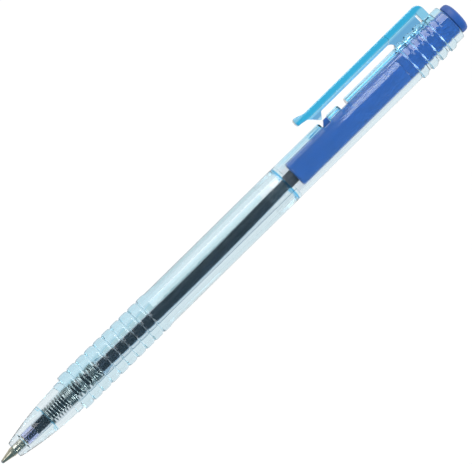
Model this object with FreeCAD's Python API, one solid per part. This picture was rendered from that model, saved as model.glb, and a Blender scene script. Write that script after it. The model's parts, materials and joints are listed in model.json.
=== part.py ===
import FreeCAD, Part
import math
import os

# Retractable ballpoint pen with a clear two-part barrel, a long push button and a clip that trips its latch.
# Every piece is a solid of its own. Millimetres.
#
# Design axes: X runs along the pen from the barrel's front mouth to the button, Y points to the clip and
# Z across the pen, and their origin is the centre of the barrel's front mouth. At the end every piece is
# turned about X by lying_roll(), so that with +Z up the pen lies on its ridges and on the clip's edge, and
# moved so that the origin is the bottom centre of the whole pen. The pen is drawn latched, point out.

# ---- driving sizes -------------------------------------------------------------------------------------
barrel_r = 4.65            # plain outside of both barrels
front_length = 85.8        # front barrel, mouth to seam
rear_length = 52.7         # rear barrel, seam to its open end

nose_length = 16.2         # curved nose, mouth to neck
nose_wall = 0.8            # at the mouth
nose_base_step = 0.68      # how far the nose's root is below the plain barrel
nose_bulge = 0.42          # how far the nose's side stands outside a straight cone
neck_length = 1.9          # plain ring between the nose and the grip
neck_step = 0.52           # how far the neck is below the plain barrel

grip_ribs = 10
rib_pitch = 2.74
grip_rise = 0.2            # rib crests above the plain barrel
groove_width = 0.55
groove_depth = 0.27
grip_runout = 0.8          # taper from the grip down to the plain barrel

mouth_bore_length = 2.7    # guides the point
spring_seat_x = 10.3       # step in the bore that the spring pushes on
spring_bore_clearance = 0.25

spigot_length = 5.6        # rear barrel's spigot in the front barrel's socket
socket_wall = 1.1          # front barrel's wall round the spigot
spigot_wall = 1.0
push_fit = 0.03            # radial clearance of the spigot in the socket
seam_relief = 0.3          # length of the shallow taper on both barrels at the seam
seam_depth = 0.08
rear_floor = 1.0           # thickness of the step between spigot bore and main bore

window_from_seam = 14.9    # seam to the nose side of the first window
window_length = 2.5
bridge_length = 3.4        # wall left standing between the windows
rest_window_length = 2.2   # second window, which holds the hook when the point is in
window_side = 0.75         # opening left at each side of the latch tongue
window_round = 0.45

ridge_count = 4
ridges_from_end = 13.3     # rear barrel's end to its first ridge
ridge_pitch = 2.91
ridge_length = 2.15
ridge_rise = 0.45
ridge_front_flank = 0.25
ridge_back_flank = 0.65
end_round = 0.4

plunger_r = 3.28
plunger_wall = 0.83
plunger_clearance = 0.14   # radial, in the rear barrel's bore
plunger_gap = 1.76         # plunger's end to the rear barrel's floor, latched
plunger_round = 0.7
socket_depth = 4.4         # how far the refill goes into the plunger
socket_floor = 1.0
vent_r = 0.5
split_from_end = 15.3      # barrel's end to where the push button meets the plunger tube
button_spigot_length = 4.5
button_wall = 0.95
head_rise = 0.52           # head's rim outside the plunger
head_length = 2.25
head_round = 1.1
head_under_round = 0.25
head_floor = 1.0           # solid plastic under the head's level
head_gap = 0.3             # head's underside to the barrel's end, latched

tongue_width = 2.6
tongue_root_gap = 0.2      # the tongue's root behind the end of the refill's socket
tongue_slot = 0.25         # cut at each side of the tongue
tongue_end_slot = 1.7      # cut behind the hook, at the tongue's free end
hook_below = 0.23          # hook's top below the barrel's outside
hook_flat = 1.0
hook_ramp = 1.15
hook_gap = 0.1             # hook's face to the bridge
hook_root = 0.2            # how far the hook's foot is sunk in the tongue

tube_r = 1.5               # refill tube
tube_wall = 0.65
tube_clearance = 0.2       # in the barrel's nose
tube_front_x = 3.4
ink_end_gap = 2.5          # empty end of the refill tube
shank_length = 3.1         # point's shank inside the tube
collar_wall = 0.15
collar_showing = 2.6       # collar in front of the plunger
collar_clearance = 0.05    # radial, in the plunger
ear_length = 3.5           # refill ears that the spring pushes on
ear_inset = 0.1            # ears' edge inside the spring's outside
ear_thickness = 1.1
point_r = 1.08             # metal point
point_clearance = 0.17     # in the mouth
point_out = 4.08           # ball's top in front of the mouth
cone_length = 2.95
ball_r = 0.35
ball_clearance = 0.012
ball_lip_depth = 0.12      # lip in front of the ball's centre
lip_wall = 0.08
ink_channel_r = 0.3

spring_length = 15.45      # seat to ears, latched
spring_wire_r = 0.19
spring_r = 2.25            # outside
spring_coils = 15
spring_play = 0.02         # at each end

clip_gap = 1.45            # space between the barrel and the clip
clip_width = 4.4
clip_rib_thickness = 1.1
clip_rib_depth = 0.7       # rib below the flange
clip_flange = 1.6          # thickness of the flange
clip_tip_reach = 3.75      # clip's tip in front of the first window
clip_flare = 3.4           # length of the flared tip
clip_tip_rise = 0.77       # flared tip's top above the flange's top
clip_tip_lift = 0.4        # flared tip's underside above the flange's underside
clip_nose = 0.4            # how far the tip's rounded end stands out
clip_corner_r = 1.9
clip_from_end = 2.4        # barrel's end to the back of the clip
clip_column = 2.05         # thickness of the column down to the barrel
clip_web_round = 1.4       # rounded end of the space under the clip
clip_slot = 0.45           # cut between the web and the column
clip_slot_height = 1.85    # top of that cut above the barrel
clip_free_from_end = 14.2  # barrel's end to where the clip comes free of the barrel
clip_flexure = 3.5         # length of the clip's bending root
clip_knuckle_gap = 0.05
tooth_place = 1.3          # tooth's tip behind the first window's edge
tooth_front = 1.4
tooth_back = 1.15
tooth_flat = 0.3
tooth_gap = 0.2            # tooth's tip above the hook

# ---- sizes and places that follow from them ------------------------------------------------------------
seam_x = front_length
rear_end_x = seam_x + rear_length
mouth_bore_r = point_r + point_clearance
nose_mouth_r = mouth_bore_r + nose_wall
nose_base_r = barrel_r - nose_base_step
neck_x = nose_length
neck_r = barrel_r - neck_step
grip_x = neck_x + neck_length
grip_end_x = grip_x + grip_ribs * rib_pitch
grip_r = barrel_r + grip_rise
front_bore_r = spring_r + spring_bore_clearance
spigot_r = barrel_r - socket_wall
rear_bore_r = plunger_r + plunger_clearance
window_x = seam_x + window_from_seam
bridge_x = window_x + window_length
rest_window_x = bridge_x + bridge_length
rest_window_end_x = rest_window_x + rest_window_length
travel = rest_window_end_x - bridge_x          # hook's face from one window's edge to the other's
window_floor = math.sqrt(rear_bore_r**2 - (tongue_width / 2 + window_side) ** 2)
ridge_first_x = rear_end_x - ridges_from_end
ridge_r = barrel_r + ridge_rise
plunger_bore_r = plunger_r - plunger_wall
plunger_x = seam_x + rear_floor + plunger_gap
socket_end_x = plunger_x + socket_depth
plunger_bore_x = socket_end_x + socket_floor
button_split_x = rear_end_x - split_from_end
button_bore_r = plunger_bore_r - button_wall
head_x = rear_end_x + head_gap
head_r = plunger_r + head_rise
hook_face_x = bridge_x - hook_gap
hook_foot_x = hook_face_x - hook_flat - hook_ramp
hook_top = barrel_r - hook_below
tongue_root_x = plunger_bore_x + tongue_root_gap
tube_bore_r = tube_r - tube_wall
ink_x = tube_front_x + shank_length
collar_x = plunger_x - collar_showing
collar_r = tube_r + collar_wall
ear_x = spring_seat_x + spring_length
ear_r = spring_r - ear_inset
ball_x = -point_out + ball_r
lip_x = ball_x - ball_lip_depth
lip_r = ball_r + lip_wall
clip_under = barrel_r + clip_gap
clip_flange_under = clip_under + clip_rib_depth
clip_top = clip_flange_under + clip_flange
clip_tip_top = clip_top + clip_tip_rise
clip_tip_under = clip_flange_under + clip_tip_lift
clip_tip_x = window_x - clip_tip_reach
clip_back_x = rear_end_x - clip_from_end
column_x = clip_back_x - clip_column
tooth_x = window_x + tooth_place
knuckle_r = (clip_top - clip_under) / 2
knuckle_y = (clip_top + clip_under) / 2
press_x = rear_end_x - clip_free_from_end      # where the clip bends when it is pressed
lift_x = press_x - clip_flexure                # where it bends when it is lifted
far = 400.0                                    # longer than the pen

AXIS_X = FreeCAD.Vector(1, 0, 0)
ORIGIN = FreeCAD.Vector(0, 0, 0)


def lying_roll():
    """Angle in degrees, clip down, at which ridges and the clip's flared edge touch one flat table."""
    half = clip_width / 2
    reach = math.hypot(clip_tip_top, half)
    return math.degrees(math.asin(ridge_r / reach) - math.atan2(half, clip_tip_top))


def point(x, y, z=0.0):
    return FreeCAD.Vector(x, y, z)


def chain(steps):
    """Closed face from corners (x, y); a step of four numbers is an arc: (through x, through y, x, y)."""
    edges = []
    at = point(*steps[0])
    start = at
    for step in steps[1:]:
        end = point(*step[-2:])
        if len(step) == 4:
            edges.append(Part.Arc(at, point(*step[:2]), end).toShape())
        else:
            edges.append(Part.LineSegment(at, end).toShape())
        at = end
    if at.distanceToPoint(start) > 1e-9:
        edges.append(Part.LineSegment(at, start).toShape())
    return Part.Face(Part.Wire(edges))


def turned(steps):
    """Solid of revolution about X of a profile of (x, radius) steps."""
    return chain(steps).revolve(ORIGIN, AXIS_X, 360)


def rod(x0, x1, r):
    return Part.makeCylinder(r, x1 - x0, point(x0, 0), AXIS_X)


def slab(steps, width):
    """A side outline of (x, y) steps, given a width across the pen."""
    face = chain(steps)
    face.translate(point(0, 0, -width / 2))
    return face.extrude(point(0, 0, width))


def box(x0, x1, y0, y1, width):
    return Part.makeBox(x1 - x0, y1 - y0, width, point(x0, y0, -width / 2))


def cross_rod(x, y, r, width):
    return Part.makeCylinder(r, width, point(x, y, -width / 2), FreeCAD.Vector(0, 0, 1))


def quarter(cx, cy, r, a0, a1):
    """Arc step round (cx, cy) from angle a0 to a1 in degrees: the point halfway and the end point."""
    am = math.radians((a0 + a1) / 2)
    ae = math.radians(a1)
    return (cx + r * math.cos(am), cy + r * math.sin(am), cx + r * math.cos(ae), cy + r * math.sin(ae))


def front_barrel():
    side = math.hypot(nose_length, nose_base_r - nose_mouth_r)
    bulge_x = nose_length / 2 - nose_bulge * (nose_base_r - nose_mouth_r) / side
    bulge_r = (nose_mouth_r + nose_base_r) / 2 + nose_bulge * nose_length / side
    outline = [
        (0, 0),
        (0, nose_mouth_r),
        (bulge_x, bulge_r, nose_length, nose_base_r),
        (neck_x, neck_r),
        (grip_x, neck_r),
        (grip_x, grip_r),
    ]
    for n in range(1, grip_ribs):
        groove_x = grip_x + n * rib_pitch
        outline += [
            (groove_x - groove_width / 2, grip_r),
            (groove_x, grip_r - groove_depth, groove_x + groove_width / 2, grip_r),
        ]
    outline += [
        (grip_end_x - grip_runout, grip_r),
        (grip_end_x, barrel_r),
        (seam_x - seam_relief, barrel_r),
        (seam_x, barrel_r - seam_depth),
        (seam_x, 0),
    ]
    body = turned(outline)
    for x0, x1, r in (
        (-1, mouth_bore_length + 1, mouth_bore_r),
        (mouth_bore_length, spring_seat_x + 1, tube_r + tube_clearance),
        (spring_seat_x, seam_x + 1, front_bore_r),
        (seam_x - spigot_length, seam_x + 1, spigot_r + push_fit),
    ):
        body = body.cut(rod(x0, x1, r))
    return body


def ridge_steps():
    steps = []
    for n in range(ridge_count):
        x = ridge_first_x + n * ridge_pitch
        steps += [
            (x, barrel_r),
            (x + ridge_front_flank, ridge_r),
            (x + ridge_length - ridge_back_flank, ridge_r),
            (x + ridge_length, barrel_r),
        ]
    return steps


def window(x0, x1):
    """Cut right across the barrel, with the outer edges of the cut rounded over."""
    top = barrel_r
    r = window_round
    return slab(
        [
            (x0, window_floor),
            (x1, window_floor),
            (x1, top - r),
            quarter(x1 + r, top - r, r, 180, 90),
            (x1 + r, top + 1),
            (x0 - r, top + 1),
            (x0 - r, top),
            quarter(x0 - r, top - r, r, 90, 0),
        ],
        4 * barrel_r,
    )


def rear_barrel():
    outline = [
        (seam_x - spigot_length, 0),
        (seam_x - spigot_length, spigot_r),
        (seam_x, spigot_r),
        (seam_x, barrel_r - seam_depth),
        (seam_x + seam_relief, barrel_r),
    ]
    outline += ridge_steps()
    outline += [
        (rear_end_x - end_round, barrel_r),
        quarter(rear_end_x - end_round, barrel_r - end_round, end_round, 90, 0),
        (rear_end_x, 0),
    ]
    body = turned(outline)
    body = body.cut(rod(seam_x - spigot_length - 1, seam_x + rear_floor + 1, spigot_r - spigot_wall))
    body = body.cut(rod(seam_x + rear_floor, rear_end_x + 1, rear_bore_r))
    for x0, x1 in ((window_x, bridge_x), (rest_window_x, rest_window_end_x)):
        body = body.cut(window(x0, x1))
    return body


def tongue_space(side_gap, end_gap):
    """Space of the latch tongue in the plunger's wall, larger by the gaps at its sides and free end."""
    return box(tongue_root_x, hook_face_x + end_gap, 0, far, tongue_width + 2 * side_gap)


def plunger_tube():
    corner_r = plunger_r - plunger_round
    body = turned(
        [
            (plunger_x, 0),
            (plunger_x, corner_r),
            quarter(plunger_x + plunger_round, corner_r, plunger_round, 180, 90),
            (button_split_x, plunger_r),
            (button_split_x, 0),
        ]
    )
    body = body.cut(rod(plunger_x - 1, socket_end_x, collar_r + collar_clearance))
    body = body.cut(rod(plunger_x - 1, button_split_x, vent_r))
    body = body.cut(rod(plunger_bore_x, button_split_x + 1, plunger_bore_r))
    return body.cut(tongue_space(tongue_slot, tongue_end_slot))


def latch_tongue():
    wall = rod(plunger_bore_x, button_split_x, plunger_r)
    wall = wall.cut(rod(plunger_bore_x, button_split_x, plunger_bore_r))
    tongue = wall.common(tongue_space(0, 0))
    hook = slab(
        [
            (hook_foot_x, (plunger_r + plunger_bore_r) / 2),
            (hook_foot_x, plunger_r - hook_root),
            (hook_foot_x + hook_ramp, hook_top),
            (hook_face_x, hook_top),
            (hook_face_x, (plunger_r + plunger_bore_r) / 2),
        ],
        tongue_width,
    )
    return tongue.fuse(hook).removeSplitter()


def push_button():
    top = head_x + head_length
    under = head_under_round
    body = turned(
        [
            (button_split_x - button_spigot_length, 0),
            (button_split_x - button_spigot_length, plunger_bore_r),
            (button_split_x, plunger_bore_r),
            (button_split_x, plunger_r),
            (head_x, plunger_r),
            (head_x, head_r - under),
            quarter(head_x + under, head_r - under, under, 180, 90),
            (top - head_round, head_r),
            quarter(top - head_round, head_r - head_round, head_round, 90, 0),
            (top, 0),
        ]
    )
    return body.cut(rod(button_split_x - button_spigot_length - 1, head_x - head_floor, button_bore_r))


def refill_tube():
    body = rod(tube_front_x, socket_end_x, tube_r)
    for side in (1, -1):
        ear = slab(
            [
                (ear_x, 0),
                (ear_x, side * ear_r),
                (ear_x + ear_length * 0.4, side * ear_r),
                (ear_x + ear_length, side * tube_r * 0.9),
                (ear_x + ear_length, 0),
            ],
            ear_thickness,
        )
        body = body.fuse(ear)
    return body.removeSplitter().cut(rod(tube_front_x - 1, socket_end_x + 1, tube_bore_r))


def ink_column():
    return rod(ink_x, socket_end_x - ink_end_gap, tube_bore_r)


def refill_collar():
    return rod(collar_x, socket_end_x, collar_r).cut(rod(collar_x - 1, socket_end_x + 1, tube_r))


def tip_body():
    body = turned(
        [
            (lip_x, 0),
            (lip_x, lip_r),
            (lip_x + cone_length, point_r),
            (tube_front_x, point_r),
            (tube_front_x, tube_bore_r),
            (ink_x, tube_bore_r),
            (ink_x, 0),
        ]
    )
    seat = Part.makeSphere(ball_r + ball_clearance, point(ball_x, 0))
    mouth_r = math.sqrt((ball_r + ball_clearance) ** 2 - ball_lip_depth**2)
    channel = rod(ball_x, ink_x + 1, ink_channel_r)
    return body.cut(seat).cut(channel).cut(rod(lip_x - 1, lip_x + 0.001, mouth_r))


def writing_ball():
    return Part.makeSphere(ball_r, point(ball_x, 0))


def return_spring():
    coil_r = spring_r - spring_wire_r
    x0 = spring_seat_x + spring_play + spring_wire_r
    x1 = ear_x - spring_play - spring_wire_r
    length = x1 - x0
    path = Part.makeHelix(length / spring_coils, length, coil_r)
    ring = Part.Wire(Part.makeCircle(spring_wire_r, point(coil_r, 0, 0), FreeCAD.Vector(0, 1, 0)))
    body = Part.Wire(path).makePipeShell([ring], True, True)
    body.rotate(ORIGIN, FreeCAD.Vector(0, 1, 0), 90)
    body.translate(point(x0, 0))
    return body


def whole_clip():
    """Flange, rib with tooth and gusset, and the column down to the barrel, as one moulding."""
    corner_x = clip_back_x - clip_corner_r
    flange = slab(
        [
            (clip_tip_x + clip_nose, clip_tip_under),
            (clip_tip_x + clip_flare, clip_flange_under),
            (column_x, clip_flange_under),
            (column_x, 0),
            (clip_back_x, 0),
            (clip_back_x, clip_top - clip_corner_r),
            quarter(corner_x, clip_top - clip_corner_r, clip_corner_r, 0, 90),
            (clip_tip_x + clip_flare, clip_top),
            (clip_tip_x + clip_nose, clip_tip_top),
            (clip_tip_x, (clip_tip_top + clip_tip_under) / 2, clip_tip_x + clip_nose, clip_tip_under),
        ],
        clip_width,
    )
    mid_flange = clip_flange_under + clip_flange / 2
    mid_column = column_x + clip_column / 2
    tooth_tip = hook_top + tooth_gap
    rib = slab(
        [
            (clip_tip_x + clip_flare, mid_flange),
            (clip_tip_x + clip_flare, clip_flange_under),
            (tooth_x - tooth_flat / 2 - tooth_front, clip_under),
            (tooth_x - tooth_flat / 2, tooth_tip),
            (tooth_x + tooth_flat / 2, tooth_tip),
            (tooth_x + tooth_flat / 2 + tooth_back, clip_under),
            (press_x, clip_under),
            quarter(press_x, clip_under - clip_web_round, clip_web_round, 90, 0),
            (press_x + clip_web_round, 0),
            (mid_column, 0),
            (mid_column, mid_flange),
        ],
        clip_rib_thickness,
    )
    slot = box(column_x - clip_slot, column_x, 0, barrel_r + clip_slot_height, clip_width)
    outside = box(-far, far, 0, far, far).cut(turned(rear_outline_for_clip()))
    return flange.fuse(rib.cut(slot)).removeSplitter().common(outside)


def rear_outline_for_clip():
    """Outside of the rear barrel, ridges included, as a solid's profile: the clip's foot is shaped to it."""
    return [(seam_x, 0), (seam_x, barrel_r)] + ridge_steps() + [(rear_end_x, barrel_r), (rear_end_x, 0)]


def ahead(x):
    """Everything on the nose side of x at the clip's height."""
    return box(x - far, x, -far, far, far)


def knuckle(x, grow):
    return cross_rod(x, knuckle_y, knuckle_r + grow, 2 * clip_width)


def clip_bracket(clip):
    return clip.cut(ahead(press_x)).cut(knuckle(press_x, clip_knuckle_gap))


def clip_flexure_piece(clip):
    body = clip.common(ahead(press_x).fuse(knuckle(press_x, 0)))
    return body.cut(ahead(lift_x)).cut(knuckle(lift_x, clip_knuckle_gap))


def clip_arm(clip):
    return clip.common(ahead(lift_x).fuse(knuckle(lift_x, 0)))


def laid_down(pieces):
    """The pieces turned to lie on a table, with the bottom centre of the whole pen at the origin."""
    laid = {name: shape.copy() for name, shape in pieces.items()}
    for shape in laid.values():
        shape.rotate(ORIGIN, AXIS_X, -lying_roll())
    whole = Part.makeCompound(list(laid.values())).optimalBoundingBox(False)
    shift = point(-whole.Center.x, -whole.Center.y, -whole.ZMin)
    for shape in laid.values():
        shape.translate(shift)
    print("shift %.4f %.4f %.4f" % (shift.x, shift.y, shift.z))
    return laid


def main():
    clip = whole_clip()
    pieces = {
        "front_barrel": front_barrel(),
        "rear_barrel": rear_barrel(),
        "clip_bracket": clip_bracket(clip),
        "clip_flexure": clip_flexure_piece(clip),
        "clip_arm": clip_arm(clip),
        "plunger_tube": plunger_tube(),
        "push_button": push_button(),
        "latch_tongue": latch_tongue(),
        "refill_tube": refill_tube(),
        "ink_column": ink_column(),
        "refill_collar": refill_collar(),
        "tip_body": tip_body(),
        "writing_ball": writing_ball(),
        "return_spring": return_spring(),
    }
    os.makedirs("parts", exist_ok=True)
    for name, shape in laid_down(pieces).items():
        print(name, "solids", len(shape.Solids), "valid", shape.isValid(), "volume %.3f" % shape.Volume)
        Part.makeCompound(shape.Solids).exportStep("parts/%s.step" % name)
    print("lying roll %.3f, travel %.3f" % (lying_roll(), travel))


main()
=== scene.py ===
"""Looks of a retractable ballpoint pen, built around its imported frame.

Every mesh is worked out in millimetres in the pen's own axes: x along the pen from the barrel's
mouth, y towards the clip and z across the pen. PenAxes puts the points into the row frame, in
metres.
"""

from __future__ import annotations

import json
import logging
import math
from dataclasses import dataclass, field
from enum import Enum
from typing import Any, Sequence

import bmesh
import bpy
import numpy as np
from mathutils import Matrix, Vector

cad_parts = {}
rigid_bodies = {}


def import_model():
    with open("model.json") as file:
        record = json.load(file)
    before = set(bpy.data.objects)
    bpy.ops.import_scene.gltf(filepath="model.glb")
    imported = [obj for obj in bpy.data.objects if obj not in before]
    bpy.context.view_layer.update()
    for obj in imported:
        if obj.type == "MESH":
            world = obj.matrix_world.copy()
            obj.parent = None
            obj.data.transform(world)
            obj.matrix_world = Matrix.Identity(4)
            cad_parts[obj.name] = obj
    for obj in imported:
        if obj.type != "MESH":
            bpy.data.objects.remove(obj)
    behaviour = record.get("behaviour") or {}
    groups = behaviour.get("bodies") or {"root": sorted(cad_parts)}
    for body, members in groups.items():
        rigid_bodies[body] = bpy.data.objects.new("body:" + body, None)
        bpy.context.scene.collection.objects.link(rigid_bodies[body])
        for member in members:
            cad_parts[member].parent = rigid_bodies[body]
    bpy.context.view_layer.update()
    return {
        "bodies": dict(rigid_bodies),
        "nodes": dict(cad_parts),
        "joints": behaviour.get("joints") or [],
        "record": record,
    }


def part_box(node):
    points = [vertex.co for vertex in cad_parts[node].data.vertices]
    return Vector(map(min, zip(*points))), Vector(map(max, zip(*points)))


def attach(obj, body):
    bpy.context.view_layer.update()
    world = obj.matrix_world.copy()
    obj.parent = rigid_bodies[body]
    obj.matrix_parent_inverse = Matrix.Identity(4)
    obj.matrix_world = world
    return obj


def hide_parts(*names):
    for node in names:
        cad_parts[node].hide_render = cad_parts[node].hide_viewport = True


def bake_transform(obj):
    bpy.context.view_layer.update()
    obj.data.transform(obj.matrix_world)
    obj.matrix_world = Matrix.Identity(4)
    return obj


LOG = logging.getLogger("pen")
MM = 1000
Number = float
Span = tuple[float, float]
Colour = tuple[float, float, float]

# Sizes that more than one class needs, in millimetres.
BARREL_R = 4.65
SEAT = 10.3
GRIP_START = 18.1
RIBS = 10
RIB_PITCH = 2.74
SEAM = 85.8
SPIGOT = 5.6
SEAM_GAP = 0.01
WINDOWS = ((100.7, 103.2), (106.6, 108.8))
RIDGES = 4
RIDGE_FIRST = 125.2
RIDGE_PITCH = 2.91
RIDGE_LENGTH = 2.15


class Operation(Enum):
    """The ways in which two closed meshes are joined into one."""

    UNION = "UNION"
    CUT = "DIFFERENCE"
    COMMON = "INTERSECT"


class Slot(Enum):
    """The record's material slots."""

    BARREL = "clear_barrel"
    CLIP = "tinted_clip"
    BUTTON = "button_plastic"
    REFILL = "refill_plastic"
    INK = "ink"
    COLLAR = "collar_plastic"
    POINT = "point_metal"
    BALL = "ball_metal"
    SPRING = "spring_steel"


# ---- the pen's axes ----------------------------------------------------------


@dataclass(frozen=True)
class PenAxes:
    """The pen's own axes in the row frame."""

    origin: np.ndarray
    along: np.ndarray
    clipward: np.ndarray
    across: np.ndarray

    @classmethod
    def from_frame(cls, frame: dict[str, Any]) -> PenAxes:
        """Reads the axes from the front barrel's box and the clip's hinge.


        Returns:
            The axes, with the origin at the centre of the barrel's mouth.
        """
        low, high = (np.array(corner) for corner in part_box("front_barrel"))
        middle = (low + high) / 2
        hinge = next(joint for joint in frame["joints"] if joint["name"] == "clip_press")
        across = np.array(hinge["axis"], float)
        along = np.array((1.0, 0.0, 0.0))
        origin = np.array((low[0], middle[1], middle[2]))
        return cls(origin, along, np.cross(across, along), across)

    def matrix(self) -> Matrix:
        """Takes millimetres in the pen's axes to metres in the row frame."""
        turn = np.stack((self.along, self.clipward, self.across), 1) / MM
        return Matrix.Translation(Vector(self.origin)) @ Matrix(turn.tolist()).to_4x4()

    def vector(self, x: float, y: float) -> Vector:
        """A point in the pen's middle plane, given in millimetres, as a vector in the row frame."""
        return self.matrix() @ Vector((x, y, 0.0))


# ---- outlines ----------------------------------------------------------------


def smooth_step(t: np.ndarray) -> np.ndarray:
    """Three t squared less two t cubed, with t held between 0 and 1."""
    t = np.clip(t, 0, 1)
    return t * t * (3 - 2 * t)


def arc(centre: Span, radius: float, start: float, end: float, steps: int = 8) -> np.ndarray:
    """Points of a circle's arc: centre plus radius times the cosine and sine of the angle.

    Args:
        centre: The circle's centre.
        radius: Its radius.
        start: First angle in degrees.
        end: Last angle in degrees.
        steps: Number of chords.

    Returns:
        Rows of two coordinates.
    """
    angle = np.radians(np.linspace(start, end, steps + 1))
    return np.array(centre) + radius * np.stack((np.cos(angle), np.sin(angle)), 1)


def rounded(
    corners: Sequence[tuple[float, float, float]], closed: bool = True, steps: int = 4
) -> np.ndarray:
    """An outline with rounded corners, each a quadratic curve between points of its two sides.

    Args:
        corners: Rows of two coordinates and the length that the rounding takes off each side.
        closed: Whether the last corner is joined to the first.
        steps: Number of chords in each rounding.

    Returns:
        Rows of two coordinates.
    """
    points = np.array([corner[:2] for corner in corners], float)
    parts = []
    last = len(points) - 1
    t = np.linspace(0, 1, steps + 1)[:, None]
    for n, (point, corner) in enumerate(zip(points, corners)):
        if corner[2] <= 0 or (not closed and n in (0, last)):
            parts.append(point[None])
            continue
        before, after = points[n - 1] - point, points[(n + 1) % len(points)] - point
        cut = min(corner[2], 0.48 * np.hypot(*before), 0.48 * np.hypot(*after))
        start = point + before / np.hypot(*before) * cut
        end = point + after / np.hypot(*after) * cut
        parts.append((1 - t) ** 2 * start + 2 * t * (1 - t) * point + t**2 * end)
    return np.concatenate(parts)


def divided(outline: np.ndarray, length: float) -> np.ndarray:
    """A closed outline whose sides are divided evenly so that none is longer than length.

    Args:
        outline: Rows of two coordinates.
        length: The greatest length of a side.

    Returns:
        Rows of two coordinates.
    """
    parts = []
    for start, end in zip(outline, np.roll(outline, -1, 0)):
        pieces = max(1, math.ceil(np.hypot(*(end - start)) / length))
        parts.append(start + (end - start) * (np.arange(pieces) / pieces)[:, None])
    return np.concatenate(parts)


def inset(outline: np.ndarray, depth: float) -> np.ndarray:
    """A closed outline moved inwards: each point goes along the bisector of its sides' normals.

    Args:
        outline: Rows of two coordinates.
        depth: How far the sides move.

    Returns:
        Rows of two coordinates, one for each given.
    """
    side = np.roll(outline, -1, 0) - outline
    side /= np.maximum(np.hypot(side[:, 0], side[:, 1]), 1e-9)[:, None]
    normal = np.stack((-side[:, 1], side[:, 0]), 1)
    x, y = outline[:, 0], outline[:, 1]
    if np.sum(x * np.roll(y, -1) - np.roll(x, -1) * y) < 0:
        normal = -normal
    both = normal + np.roll(normal, 1, 0)
    return outline + depth * both / np.maximum(np.sum(both**2, 1) / 2, 0.5)[:, None]


# ---- meshes ------------------------------------------------------------------


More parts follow.
